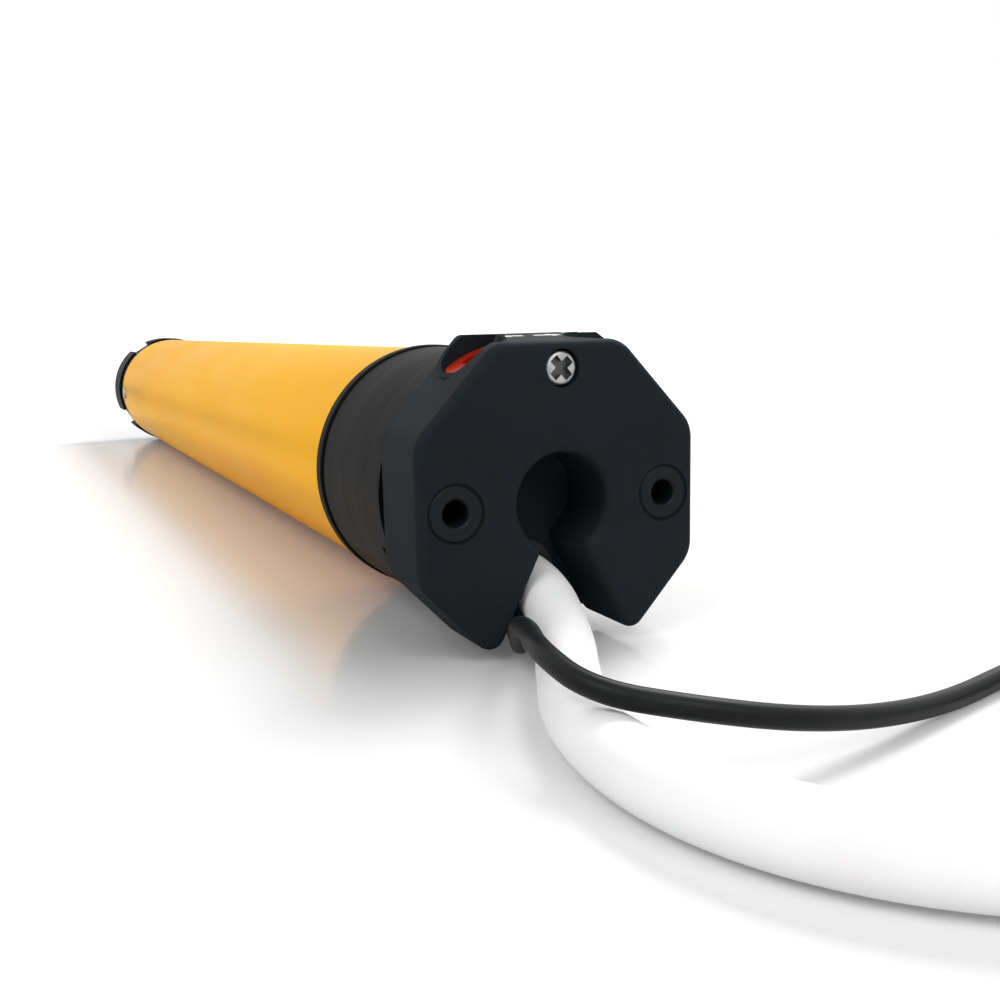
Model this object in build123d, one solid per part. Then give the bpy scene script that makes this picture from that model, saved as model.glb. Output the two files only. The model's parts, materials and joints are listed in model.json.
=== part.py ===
from build123d import *
import math
import os

# Tubular roller blind motor for a 45 mm tube, lying on its crown and drive wheel.
# Millimetres. The origin is the centre of the head's front face, on the motor's axis.
# +Y runs along the axis to the drive wheel, +Z is up, +X is to the right seen from the head.

# Clearances
seat_gap = 0.05
run_gap = 0.08
side_gap = 0.3
tooth_play = 0.16
overrun = 1.0

# Tube and head outline
tube_outer_r = 22.5
tube_wall = 0.9
tube_inner_r = tube_outer_r - tube_wall
inner_fit_r = tube_inner_r - seat_gap
head_half_width = 23.7
head_half_height = 24.31
top_flat_half = 10.6
side_flat_half = 10.5
head_corner_r = 5.5
cover_depth = 12.5
cover_wall = 2.2
cover_edge_r = 1.4
top_pad_front_half = 8.0
top_pad_back_half = 9.5
top_pad_rise = 1.0
top_pad_start = 1.6
top_pad_edge_r = 1.6
base_depth = 4.5
base_inset = 0.9
hub_hole_r = 7.6
hub_z = 0.0
notch_half_angle = math.radians(27.1)
foot_r = 2.4
notch_lip_r = 1.5

# Fixing sleeves and cover screw
sleeve_spacing = 35.6
sleeve_outer_r = 4.24
sleeve_hole_r = 2.05
sleeve_boss_wall = 1.2
sleeve_groove = 0.3
screw_z = 20.2
screw_head_r = 2.6
screw_head_height = 1.9
screw_edge_r = 0.6
screw_recess = 2.3
screw_shank_r = 1.45
screw_length = 13.0
cross_width = 1.4
cross_span = 3.9
cross_turn = 42.0
cross_depth = 1.1

# Limit setting adjusters, in wells across the two upper corners
adjuster_tilt = math.radians(26.0)
adjuster_y = 8.6
adjuster_r = 4.6
adjuster_port_r = 5.0
adjuster_well_wall = 1.3
port_rim_wall = 0.8
port_rim_front_r = 25.2
port_rim_back_r = 26.6
port_rim_side_drop = 1.4
adjuster_top_r = 24.3
adjuster_floor_r = 11.2
adjuster_tip_r = 2.2
adjuster_tip_length = 2.6
adjuster_hex = 3.5
adjuster_hex_depth = 3.0

# Neck of the head, crown ring that turns on it, and the lip that holds the crown
crown_gap = 1.5
crown_step = 0.3
crown_outer_r = tube_outer_r + crown_step
crown_length = 31.2
crown_collar_length = 9.0
crown_collar_step = 0.25
crown_notch_width = 4.5
crown_notch_length = 4.0
crown_notch_depth = 0.8
crown_notch_count = 2
crown_notch_angle = math.radians(207.0)
crown_edge_r = 0.5
crown_wall = 1.6
journal_r = crown_outer_r - crown_wall
journal_length = 13.0
neck_wall = 1.5
lip_step = 0.7
lip_r = tube_outer_r + lip_step
lip_width = 2.9
lip_edge_r = 0.4
spigot_length = 18.0

# Limit switch train inside the neck
pressure_angle = math.radians(25.0)
addendum_share = 0.8
dedendum_share = 1.1
crown_teeth = 66
crown_tooth_wall = 2.445
crown_module = (journal_r - crown_tooth_wall) / (crown_teeth / 2 + dedendum_share)
neck_r = crown_module * (crown_teeth / 2 - addendum_share) - side_gap
neck_shell = 1.7
neck_inner_r = neck_r - neck_shell
neck_length = 45.0
pinion_teeth = 16
cam_pinion_teeth = 12
cam_teeth = 40
cam_module = 0.4
crown_gear_width = 8.0
cam_gear_width = 2.3
cam_disc_width = 1.7
cam_disc_r = 6.6
cam_notch_r = 1.2
spindle_r = 1.5
chassis_plate = 2.2
chassis_post_r = 1.6
switch_width = 10.0
switch_height = 6.0
switch_depth = 3.9
plunger_r = 0.7
plunger_out = 2.2
plunger_in = 3.0
plunger_travel = 0.8

# Capacitor and its holder
capacitor_r = 14.0
capacitor_length = 58.0
capacitor_stub = 5.0
capacitor_margin = 8.0
holder_ring_width = 6.0
holder_rail_half = 2.2

# Motor
bell_plate = 6.0
bell_skirt_wall = 1.4
bearing_r = 8.0
bearing_width = 5.0
bearing_lip = 1.2
shaft_r = 4.0
stator_length = 86.0
stator_bore_r = 12.6
rotor_air_gap = 0.35
slot_count = 12
slot_r = 2.4
slot_centre_r = 16.6
coil_bar_r = 2.2
end_turn_length = 9.0
end_turn_inner_r = 13.6
end_turn_outer_r = 19.4
end_space = 13.0
cutout_length = 9.0
cutout_width = 5.0
cutout_thickness = 2.4
end_ring_length = 4.0

# Brake
brake_gap = 2.0
brake_coil_length = 17.0
brake_pocket_depth = 4.0
brake_pocket_inner_r = 7.0
brake_pocket_outer_r = 12.0
brake_travel = 0.6
brake_plate_width = 3.0
brake_disc_width = 4.0
brake_disc_r = 17.5
brake_bore_r = 5.4
spring_thickness = 0.8
spring_inner_r = 7.6
spring_outer_r = 11.4

# Planetary gearbox, three stages in one ring gear
ring_teeth = 60
sun_teeth = 12
planet_teeth = 24
gear_module = 0.55
planet_count = 3
stage_widths = (10.0, 12.0, 15.0)
carrier_plate = 3.0
carrier_r = 14.8
planet_pin_r = 2.0
gear_wall = 3.0
friction_gap = 0.05

# Output end
output_r = 6.0
output_bush_r = 9.0
output_bush_flange_r = 11.0
output_bush_flange = 1.5
cap_length = 12.0
cap_flange = 3.0
wheel_gap = 4.0
wheel_width = 18.0
wheel_r = tube_outer_r + lip_step
wheel_hub_r = 10.5
wheel_rim_wall = 3.0
wheel_web = 3.0
wheel_rib_width = 2.4
wheel_rib_count = 8
wheel_notch_width = 8.0
wheel_notch_depth = 2.0
wheel_notch_angle = math.radians(31.0)
clip_groove_r = 4.6
clip_r = 8.0
clip_width = 1.0
shaft_end = 2.0

# Screws through the tube
tube_screw_r = 1.5
tube_screw_head_r = 2.4
tube_screw_head = 0.55
tube_screw_length = 4.4
head_screw_angles = (0.0, -60.0)
cap_screw_angles = (60.0, 180.0, 300.0)

# Cables: power cable and thin control lead, from their exits below the hub hole
floor_z = -lip_r
cable_r = 4.3
lead_r = 1.45
cable_x = -0.9
cable_z = -13.2
lead_x = -5.9
lead_z = -17.4
cable_start_y = 23.5
lead_start_y = 20.0
grommet_wall = 1.1
grommet_lead_wall = 0.9
clamp_width = 5.0
clamp_height = 4.6
clamp_gap = 1.0
clamp_half_span = 10.5
clamp_screw_r = 1.1
clamp_screw_head_r = 2.0
clamp_screw_head = 1.3
clamp_screw_span = 8.6
clamp_screw_length = 8.0

# Ties round the put-away coils, which lift them off the floor
tie_thickness = 0.6
tie_width = 9.0
tie_play = 0.2
coil_floor_z = floor_z + tie_thickness + tie_play

# Route points of the free stretches, chosen along the photographed curves
cable_route = [
    (cable_x, cable_start_y, cable_z),
    (cable_x, 7.4, cable_z),
    (-4.4, -7.5, -18.4),
    (-11.6, -21.0, -18.9),
    (-18.7, -36.0, -18.9),
    (-20.4, -54.5, -18.8),
    (-14.0, -72.0, -18.6),
    (0.0, -85.5, -18.4),
    (19.5, -93.5, coil_floor_z + cable_r),
    (43.0, -96.5, coil_floor_z + cable_r),
    (66.0, -97.5, coil_floor_z + cable_r),
]
lead_route = [
    (lead_x, lead_start_y, lead_z),
    (lead_x, 8.0, lead_z),
    (-9.1, -3.0, -21.1),
    (-14.3, -11.4, -14.1),
    (-17.5, -21.2, -11.5),
    (-21.6, -31.7, -10.8),
    (-21.2, -43.4, -12.4),
    (-11.4, -49.8, -14.1),
    (0.6, -51.6, -16.9),
    (14.1, -50.2, -19.6),
    (29.0, -47.0, -21.5),
    (45.0, -43.0, -21.5),
    (61.0, -40.0, coil_floor_z + lead_r),
    (77.0, -40.0, coil_floor_z + lead_r),
]

# Coils put away on the floor: turns of each cord in two layers
cable_coil_r = 57.0
cable_coil_pitch = 11.0
cable_layer_step = 9.7
lead_coil_r = 20.0
lead_coil_pitch = 4.1
lead_layer_step = 3.6
coil_in_halves = 4
coil_out_halves = 4
tie_angles = (60.0, 250.0)
core_r = 1.25
core_length = 26.0
core_ring_r = 2.1
core_count = 4
lead_core_r = 0.6
lead_core_length = 16.0
lead_core_ring_r = 0.8
lead_core_count = 2

# Stations along the axis
base_end = cover_depth + base_depth
crown_start = base_end + crown_gap
crown_end = crown_start + crown_length
lip_start = crown_end + side_gap
lip_end = lip_start + lip_width
spigot_end = lip_end + spigot_length
journal_end = base_end + journal_length
neck_end = base_end + neck_length
gear_zone_start = journal_end + side_gap
gear_zone_end = gear_zone_start + crown_gear_width
capacitor_start = spigot_end + capacitor_margin
capacitor_end = capacitor_start + capacitor_length
bell_start = capacitor_end + capacitor_margin
stator_start = bell_start + bell_plate + end_space
stator_end = stator_start + stator_length
rear_bell_start = stator_end + end_space
rear_bell_end = rear_bell_start + bell_plate
brake_start = rear_bell_end + brake_gap
brake_face = brake_start + brake_coil_length
plate_start = brake_face + brake_travel + side_gap
plate_end = plate_start + brake_plate_width
disc_start = plate_end + friction_gap
disc_end = disc_start + brake_disc_width
ring_start = disc_end + friction_gap
ring_floor = ring_start + gear_wall


def stage_start(stage):
    """Where the planets of a stage begin."""
    before = sum(stage_widths[:stage]) + stage * (carrier_plate + 2 * side_gap)
    return ring_floor + side_gap + before


def stage_end(stage):
    return stage_start(stage) + stage_widths[stage]


ring_end = stage_end(2) + side_gap + carrier_plate + side_gap
cap_start = ring_end + seat_gap
tube_end = cap_start + cap_length
cap_end = tube_end + cap_flange
wheel_start = cap_end + wheel_gap
wheel_end = wheel_start + wheel_width
clip_start = wheel_end + seat_gap
output_end = clip_start + clip_width + shaft_end


def prism(sketch, start, end):
    """A sketch drawn in X and Z, made solid from one station to another."""
    plane = Plane(origin=(0, start, 0), x_dir=(1, 0, 0), z_dir=(0, -1, 0))
    return extrude(plane * sketch, amount=end - start, dir=(0, 1, 0))


def rod(radius, start, end, x=0, z=0):
    return prism(Pos(x, z) * Circle(radius), start, end)


def sleeve(outer_r, inner_r, start, end, x=0, z=0):
    return prism(Pos(x, z) * (Circle(outer_r) - Circle(inner_r)), start, end)


def block(low, high):
    """A box from its lowest corner to its highest."""
    size = [b - a for a, b in zip(low, high)]
    return Pos(*low) * Box(*size, align=(Align.MIN, Align.MIN, Align.MIN))


def outer_rims(shape, least_r):
    """The round edges of a shape that are wider than a radius."""
    return shape.edges().filter_by(GeomType.CIRCLE).filter_by(lambda edge: edge.radius > least_r)


def polar(radius, angle):
    return (radius * math.cos(angle), radius * math.sin(angle))


def turned(shape, angle, origin=(0, 0, 0)):
    """A shape turned in the X and Z plane, from +X towards +Z, about an axis along Y."""
    return shape.rotate(Axis(origin, (0, -1, 0)), math.degrees(angle))


# Head
def octagon(inset=0):
    half_w = head_half_width - inset
    half_h = head_half_height - inset
    points = [
        (top_flat_half, half_h),
        (-top_flat_half, half_h),
        (-half_w, side_flat_half),
        (-half_w, -side_flat_half),
        (-top_flat_half, -half_h),
        (top_flat_half, -half_h),
        (half_w, -side_flat_half),
        (half_w, side_flat_half),
    ]
    shape = Polygon(*points, align=None)
    upper = shape.vertices().sort_by(Axis.Y)[2:]
    return fillet(upper, head_corner_r)


def notch():
    """The cable notch: a wedge that opens downwards from the hub's centre."""
    depth = head_half_height * 2
    half = depth * math.tan(notch_half_angle)
    return Polygon((0, hub_z), (-half, hub_z - depth), (half, hub_z - depth), align=None)


def notched_outline(inset=0):
    shape = octagon(inset) - notch()
    return fillet(shape.vertices().sort_by(Axis.Y)[:2], foot_r)


def cover_outline():
    shape = notched_outline() - Pos(0, hub_z) * Circle(hub_hole_r)
    lip_x = hub_hole_r * math.sin(notch_half_angle)
    lip_z = hub_z - hub_hole_r * math.cos(notch_half_angle)
    lips = [shape.vertices().sort_by_distance((side * lip_x, lip_z, 0))[0] for side in (-1, 1)]
    return fillet(lips, notch_lip_r)


def well_cylinder(side, radius, start, end):
    """A cylinder on an adjuster's axis, between two distances from the motor's axis."""
    direction = (side * math.sin(adjuster_tilt), 0, math.cos(adjuster_tilt))
    plane = Plane(origin=(0, adjuster_y, 0), x_dir=(0, 1, 0), z_dir=direction)
    return plane * Pos(0, 0, start) * Cylinder(
        radius, end - start, align=(Align.CENTER, Align.CENTER, Align.MIN)
    )


def top_pad(start, end):
    """The raised roof of the head between the adjusters, which climbs and widens towards the back."""
    low = head_half_height - cover_wall / 2
    lean = (head_half_width - top_flat_half) / (head_half_height - side_flat_half)
    ends = []
    for y in (start, end):
        way = (y - top_pad_start) / (base_end - top_pad_start)
        top = head_half_height - seat_gap + top_pad_rise * way
        half = top_pad_front_half + (top_pad_back_half - top_pad_front_half) * way
        foot = half + (top - low) * lean
        corners = [(-foot, y, low), (-half, y, top), (half, y, top), (foot, y, low)]
        ends.append(Face(Wire.make_polygon([Vector(*c) for c in corners], close=True)))
    pad = loft(ends, ruled=True)
    roof = pad.faces().sort_by(Axis.Z)[-1]
    return fillet(roof.edges().filter_by(lambda e: e.bounding_box().size.Y > seat_gap), top_pad_edge_r)


def port_rim(side):
    """The rim of an adjuster's port, flush in front and outwards, and proud of the head behind."""
    outer_r = adjuster_port_r + port_rim_wall
    lean = (port_rim_back_r - port_rim_front_r) / (2 * adjuster_port_r)
    front, back = adjuster_y - 2 * outer_r, adjuster_y + 2 * outer_r
    heights = [port_rim_front_r + lean * (y - adjuster_y + adjuster_port_r) for y in (front, back)]
    low = adjuster_top_r - adjuster_well_wall
    deep = adjuster_floor_r
    profile = Polygon((front, deep), (back, deep), (back, heights[1]), (front, heights[0]), align=None)
    axis = Vector(side * math.sin(adjuster_tilt), 0, math.cos(adjuster_tilt))
    across = Vector(math.cos(adjuster_tilt), 0, -side * math.sin(adjuster_tilt))
    plane = Plane(origin=(0, 0, 0), x_dir=(0, 1, 0), z_dir=across)
    way = across * side - axis * (port_rim_side_drop / adjuster_port_r)
    wedge = extrude(plane * profile, amount=2 * outer_r, dir=way, both=True)
    roof = head_half_height + top_pad_rise - seat_gap
    below_roof = block((-head_half_width, front, 0), (head_half_width, back, roof))
    return wedge & well_cylinder(side, outer_r, low, port_reach()) & below_roof


def port_reach():
    return head_half_height + 2 * head_corner_r


def head_cover():
    outline = cover_outline()
    shell = prism(outline, 0, cover_depth)
    rim = shell.faces().sort_by(Axis.Y)[0].edges()
    shell = fillet(rim, cover_edge_r)
    pocket = prism(offset(outline, amount=-cover_wall), cover_wall, cover_depth + overrun)
    bosses = rod(screw_head_r + cover_wall, 0, cover_depth, 0, screw_z)
    for side in (-1, 1):
        x = side * sleeve_spacing / 2
        bosses += rod(sleeve_outer_r + sleeve_boss_wall, 0, cover_depth, x, 0)
        outer_r = adjuster_port_r + adjuster_well_wall
        bosses += well_cylinder(side, outer_r, adjuster_floor_r, port_reach())
    shell -= pocket - bosses
    shell += top_pad(top_pad_start, cover_depth)
    for side in (-1, 1):
        shell += port_rim(side)
    for side in (-1, 1):
        x = side * sleeve_spacing / 2
        shell -= rod(sleeve_outer_r + seat_gap, -overrun, cover_depth + overrun, x, 0)
        shell -= rod(sleeve_outer_r + sleeve_groove, -overrun, sleeve_groove, x, 0)
        shell -= well_cylinder(side, adjuster_port_r, adjuster_floor_r, port_reach())
        shell -= well_cylinder(side, adjuster_tip_r + run_gap, 0, adjuster_floor_r + overrun)
    shell -= rod(screw_shank_r + side_gap, -overrun, cover_depth + overrun, 0, screw_z)
    shell -= rod(screw_head_r + side_gap, -overrun, screw_recess, 0, screw_z)
    back = prism(Rectangle(4 * head_half_width, 4 * head_half_height), cover_depth, 3 * cover_depth)
    return shell - back


def window_half():
    return pinion_tip_r() + side_gap


def head_base():
    """Rear octagonal layer of the head, with the neck that the crown turns on."""
    base = prism(notched_outline(base_inset), cover_depth, base_end)
    base += top_pad(cover_depth, base_end)
    front = prism(Rectangle(4 * head_half_width, 4 * head_half_height), -cover_depth, cover_depth)
    for side in (-1, 1):
        base += port_rim(side) - front
    base += rod(journal_r, cover_depth, journal_end)
    base += rod(neck_r, journal_end, neck_end)
    base -= rod(journal_r - neck_wall, base_end, journal_end - neck_wall)
    base -= rod(neck_inner_r, journal_end - neck_wall - overrun, neck_end + overrun)
    base += clamp_saddle()
    half = window_half()
    low = (-half, gear_zone_start, neck_inner_r / 2)
    base -= block(low, (half, gear_zone_end, journal_r))
    half = cam_pinion_tip_r() + side_gap
    low = (-half, gear_zone_start, neck_inner_r / 2)
    base -= block(low, (half, chassis_rear(), journal_r))
    base -= grommet_outline_prism(seat_gap, cover_depth - overrun, base_end + overrun)
    base -= rod(cable_r + seat_gap, base_end, cable_start_y + overrun, cable_x, cable_z)
    base -= rod(lead_r + seat_gap, base_end, lead_start_y + overrun, lead_x, lead_z)
    base -= rod(screw_shank_r + seat_gap, cover_depth - overrun, base_end + overrun, 0, screw_z)
    for side in (-1, 1):
        x = side * sleeve_spacing / 2
        base -= rod(sleeve_hole_r, cover_depth - overrun, base_end + overrun, x, 0)
        base -= well_cylinder(side, adjuster_port_r, adjuster_floor_r, port_reach())
        base -= clamp_screw(side, seat_gap)
    return base


def fixing_sleeves():
    """Threaded sleeves for the two bracket screws."""
    pair = []
    for side in (-1, 1):
        x = side * sleeve_spacing / 2
        body = sleeve(sleeve_outer_r, sleeve_hole_r, 0, cover_depth - seat_gap, x, 0)
        pair.append(chamfer(body.faces().sort_by(Axis.Y)[0].edges(), sleeve_groove))
    return Compound(pair)


def cover_screw():
    top = screw_recess - screw_head_height
    head = rod(screw_head_r, top, screw_recess, 0, screw_z)
    head = fillet(head.faces().sort_by(Axis.Y)[0].edges(), screw_edge_r)
    shank = rod(screw_shank_r, screw_recess - seat_gap, screw_length, 0, screw_z)
    cross = Rectangle(cross_span, cross_width) + Rectangle(cross_width, cross_span)
    slot = prism(Pos(0, screw_z) * Rot(0, 0, cross_turn) * cross, top - overrun, top + cross_depth)
    return head + shank - slot


def limit_adjuster(side):
    body = well_cylinder(side, adjuster_r, adjuster_floor_r + side_gap, adjuster_top_r)
    tip_start = adjuster_floor_r - adjuster_tip_length
    tip = well_cylinder(side, adjuster_tip_r, tip_start, adjuster_top_r)
    direction = (side * math.sin(adjuster_tilt), 0, math.cos(adjuster_tilt))
    plane = Plane(origin=(0, adjuster_y, 0), x_dir=(0, 1, 0), z_dir=direction)
    key = RegularPolygon(adjuster_hex / 2, 6, major_radius=False)
    socket = plane.offset(adjuster_top_r - adjuster_hex_depth) * key
    depth = adjuster_hex_depth + overrun
    return body + tip - extrude(socket, amount=depth, dir=direction)


# Cable entry
def grommet_outline_prism(grow, start, end):
    main = rod(cable_r + grommet_wall + grow, start, end, cable_x, cable_z)
    return main + rod(lead_r + grommet_lead_wall + grow, start, end, lead_x, lead_z)


def cable_grommet():
    body = grommet_outline_prism(0, cover_depth, base_end)
    body -= rod(cable_r, cover_depth - overrun, base_end + overrun, cable_x, cable_z)
    return body - rod(lead_r, cover_depth - overrun, base_end + overrun, lead_x, lead_z)


def clamp_start():
    return base_end + clamp_gap


def clamp_saddle():
    """Lower half of the cable clamp, moulded into the neck."""
    inner_r = journal_r - neck_wall
    floor = prism(Circle(inner_r + neck_wall / 2), base_end, clamp_start() + clamp_width)
    keep = block(
        (-journal_r, base_end, -journal_r),
        (journal_r, clamp_start() + clamp_width, cable_z - clamp_gap / 2),
    )
    return floor & keep


def clamp_screw(side, grow):
    """A clamp screw's shank, down into the saddle."""
    x = cable_x + side * clamp_screw_span
    y = clamp_start() + clamp_width / 2
    top = cable_z + clamp_height
    shank = Cylinder(clamp_screw_r + grow, clamp_screw_length + 2 * grow)
    return Pos(x, y, top - clamp_screw_length / 2) * shank


def cable_clamp():
    x = cable_x
    start = clamp_start()
    low = (x - clamp_half_span, start, cable_z + clamp_gap / 2)
    bar = block(low, (x + clamp_half_span, start + clamp_width, cable_z + clamp_height))
    bar -= rod(cable_r + seat_gap, start - overrun, start + clamp_width + overrun, x, cable_z)
    bar -= clamp_screw(-1, seat_gap)
    return bar - clamp_screw(1, seat_gap)


def clamp_screws():
    pair = []
    for side in (-1, 1):
        x = cable_x + side * clamp_screw_span
        y = clamp_start() + clamp_width / 2
        top = cable_z + clamp_height
        head = Pos(x, y, top + clamp_screw_head / 2) * Cylinder(clamp_screw_head_r, clamp_screw_head)
        pair.append(head + clamp_screw(side, 0))
    return Compound(pair)


# Gear teeth
def involute(angle):
    return math.tan(angle) - angle


def half_tooth_angle(teeth, module, radius, play):
    """Half the angle that a tooth takes at a radius, thinned by the play at its pitch circle."""
    pitch_r = teeth * module / 2
    base_r = pitch_r * math.cos(pressure_angle)
    here = math.acos(base_r / max(radius, base_r))
    at_pitch = math.pi / (2 * teeth) - play / (2 * pitch_r)
    return at_pitch + involute(pressure_angle) - involute(here)


def tooth_sketch(teeth, module, low_r, high_r, play, phase):
    """A toothed outline whose teeth point outwards, with a tooth centred at the phase angle."""
    radii = [low_r, (2 * low_r + high_r) / 3, (low_r + 2 * high_r) / 3, high_r]
    points = []
    for tooth in range(teeth):
        centre = phase + tooth * 2 * math.pi / teeth
        for radius in radii:
            half = half_tooth_angle(teeth, module, radius, play)
            points.append(polar(radius, centre - half))
        for radius in reversed(radii):
            half = half_tooth_angle(teeth, module, radius, play)
            points.append(polar(radius, centre + half))
    return make_face(Polyline(*points, close=True))


def gear_sketch(teeth, module, phase):
    pitch_r = teeth * module / 2
    low_r = pitch_r - dedendum_share * module
    high_r = pitch_r + addendum_share * module
    return tooth_sketch(teeth, module, low_r, high_r, tooth_play / 2, phase)


def ring_hole_sketch(teeth, module, phase):
    """The toothed hole of an internal gear, with a tooth space centred at the phase angle."""
    pitch_r = teeth * module / 2
    low_r = pitch_r - addendum_share * module
    high_r = pitch_r + dedendum_share * module
    return tooth_sketch(teeth, module, low_r, high_r, -tooth_play / 2, phase)


# Crown and limit switch train
def pinion_centre():
    return (crown_teeth - pinion_teeth) * crown_module / 2


def pinion_tip_r():
    return pinion_teeth * crown_module / 2 + addendum_share * crown_module


def cam_pinion_tip_r():
    return cam_pinion_teeth * cam_module / 2 + addendum_share * cam_module


def cam_centre():
    return pinion_centre() - (cam_pinion_teeth + cam_teeth) * cam_module / 2


def cam_start(index):
    pitch = cam_gear_width + cam_disc_width + side_gap
    return gear_zone_end + chassis_plate / 2 + index * pitch


def crown_ring():
    body = rod(crown_outer_r, crown_start, crown_end)
    body = fillet(body.edges().filter_by(GeomType.CIRCLE), crown_edge_r)
    collar_r = crown_outer_r + crown_collar_step
    collar = rod(collar_r, crown_start, crown_start + crown_collar_length)
    body += fillet(collar.edges().filter_by(GeomType.CIRCLE), crown_collar_step / 2)
    body -= rod(journal_r + run_gap, crown_start - overrun, journal_end + seat_gap)
    hole = ring_hole_sketch(crown_teeth, crown_module, math.pi / 2)
    body -= prism(hole, journal_end, gear_zone_end + side_gap)
    body -= rod(neck_r + run_gap, journal_end, crown_end + overrun)
    for index in range(crown_notch_count):
        low = (crown_outer_r - crown_notch_depth, crown_start - overrun, -crown_notch_width / 2)
        high = (crown_outer_r + overrun, crown_start + crown_notch_length, crown_notch_width / 2)
        angle = crown_notch_angle + index * 2 * math.pi / crown_notch_count
        body -= turned(block(low, high), angle)
    return body


def crown_retainer():
    """Lip behind the crown, with the spigot that the tube is fixed to."""
    lip = rod(lip_r, lip_start, lip_end)
    lip = fillet(lip.edges().filter_by(GeomType.CIRCLE), lip_edge_r)
    body = lip + rod(inner_fit_r, lip_end, spigot_end)
    body -= rod(neck_r + seat_gap, lip_start - overrun, neck_end + seat_gap)
    body -= rod(neck_inner_r, lip_start, spigot_end + overrun)
    for angle in head_screw_angles:
        body -= tube_screw(angle, (lip_end + spigot_end) / 2, seat_gap)
    return body


def limit_pinion():
    z = pinion_centre()
    big = gear_sketch(pinion_teeth, crown_module, math.pi / 2)
    small = gear_sketch(cam_pinion_teeth, cam_module, -math.pi / 2)
    gear_start = gear_zone_start + side_gap
    body = prism(Pos(0, z) * big, gear_start, gear_zone_end - side_gap)
    body += prism(Pos(0, z) * small, gear_zone_end - side_gap, cam_start(2))
    pivot = cam_pinion_teeth * cam_module / 4
    start = gear_zone_start - chassis_plate
    return body + rod(pivot, start, chassis_rear() + chassis_plate / 2, 0, z)


def cam_wheel(index):
    start = cam_start(index)
    phase = math.pi / 2 + math.pi / cam_teeth
    teeth = Pos(0, cam_centre()) * gear_sketch(cam_teeth, cam_module, phase)
    body = prism(teeth, start, start + cam_gear_width)
    disc_end = start + cam_gear_width + cam_disc_width
    disc = rod(cam_disc_r, start + cam_gear_width, disc_end, 0, cam_centre())
    notch_x, notch_z = polar(cam_disc_r, math.radians(-20.0 - 100.0 * index))
    disc -= rod(cam_notch_r, start, disc_end + overrun, notch_x, cam_centre() + notch_z)
    body += disc
    return body - rod(spindle_r + run_gap, start - overrun, disc_end + overrun, 0, cam_centre())


def chassis_sketch():
    """Outline of a chassis plate: round in the neck, with its lower part cut away for wires."""
    plate = Circle(neck_inner_r - seat_gap)
    cut = Pos(0, -neck_inner_r) * Rectangle(4 * neck_inner_r, neck_inner_r / 2)
    return plate - cut


def chassis_rear():
    return disc_middle(1) + switch_depth / 2 + seat_gap


def switch_seat_z():
    return cam_centre() - cam_disc_r - seat_gap - plunger_out


def limit_chassis():
    """Two plates and two posts that carry the spindle, the pinion and the switches."""
    front = gear_zone_start - chassis_plate - side_gap
    body = prism(chassis_sketch(), front, front + chassis_plate)
    rear_end = chassis_rear() + chassis_plate
    body += prism(chassis_sketch(), chassis_rear(), rear_end)
    for side in (-1, 1):
        x = side * (neck_inner_r - 2 * chassis_post_r)
        body += rod(chassis_post_r, front, rear_end, x, -chassis_post_r)
        z = switch_seat_z() - switch_height - chassis_post_r
        body += rod(chassis_post_r, front, rear_end, side * switch_width / 3, z)
    pivot = cam_pinion_teeth * cam_module / 4 + run_gap
    body -= rod(pivot, front - overrun, rear_end + overrun, 0, pinion_centre())
    return body - rod(spindle_r + seat_gap, front - overrun, rear_end + overrun, 0, cam_centre())


def cam_spindle():
    front = gear_zone_start - chassis_plate - side_gap
    return rod(spindle_r, front, chassis_rear() + chassis_plate, 0, cam_centre())


def disc_middle(index):
    return cam_start(index) + cam_gear_width + cam_disc_width / 2


def limit_switches():
    pair = []
    for index in (0, 1):
        y = disc_middle(index) - switch_depth / 2
        top = switch_seat_z()
        low = (-switch_width / 2, y, top - switch_height)
        case = block(low, (switch_width / 2, y + switch_depth, top))
        hole_depth = plunger_in + plunger_travel + side_gap
        hole = Cylinder(plunger_r + run_gap, 2 * hole_depth)
        pair.append(case - Pos(0, disc_middle(index), top) * hole)
    return Compound(pair)


def switch_plunger(index):
    length = plunger_out + plunger_in
    top = switch_seat_z() + plunger_out
    return Pos(0, disc_middle(index), top - length / 2) * Cylinder(plunger_r, length)


# Tube and what it holds in front
def tube_screw(angle, y, grow=0.0, with_head=False):
    """A radial screw through the tube's wall, at an angle from +X towards +Z."""
    length = tube_screw_length
    shank = Cylinder(tube_screw_r + grow, length, align=(Align.CENTER, Align.CENTER, Align.MAX))
    screw = Pos(0, 0, tube_outer_r) * shank
    if with_head:
        head = Cylinder(
            tube_screw_head_r, tube_screw_head, align=(Align.CENTER, Align.CENTER, Align.MIN)
        )
        screw += Pos(0, 0, tube_outer_r) * head
    return Pos(0, y, 0) * Rot(0, 90.0 - angle, 0) * screw


def cap_screw_y():
    return cap_start + cap_length / 2


def tube_screw_places():
    places = [(angle, (lip_end + spigot_end) / 2) for angle in head_screw_angles]
    return places + [(angle, cap_screw_y()) for angle in cap_screw_angles]


def motor_tube():
    body = sleeve(tube_outer_r, tube_inner_r, lip_end, tube_end)
    for angle, y in tube_screw_places():
        body -= tube_screw(angle, y, seat_gap)
    return body


def tube_screws():
    return Compound([tube_screw(angle, y, 0, True) for angle, y in tube_screw_places()])


def capacitor():
    body = rod(capacitor_r, capacitor_start, capacitor_end)
    body = fillet(body.edges().filter_by(GeomType.CIRCLE), capacitor_stub / 5)
    return body + rod(capacitor_r / 3, capacitor_start - capacitor_stub, capacitor_start)


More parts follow.
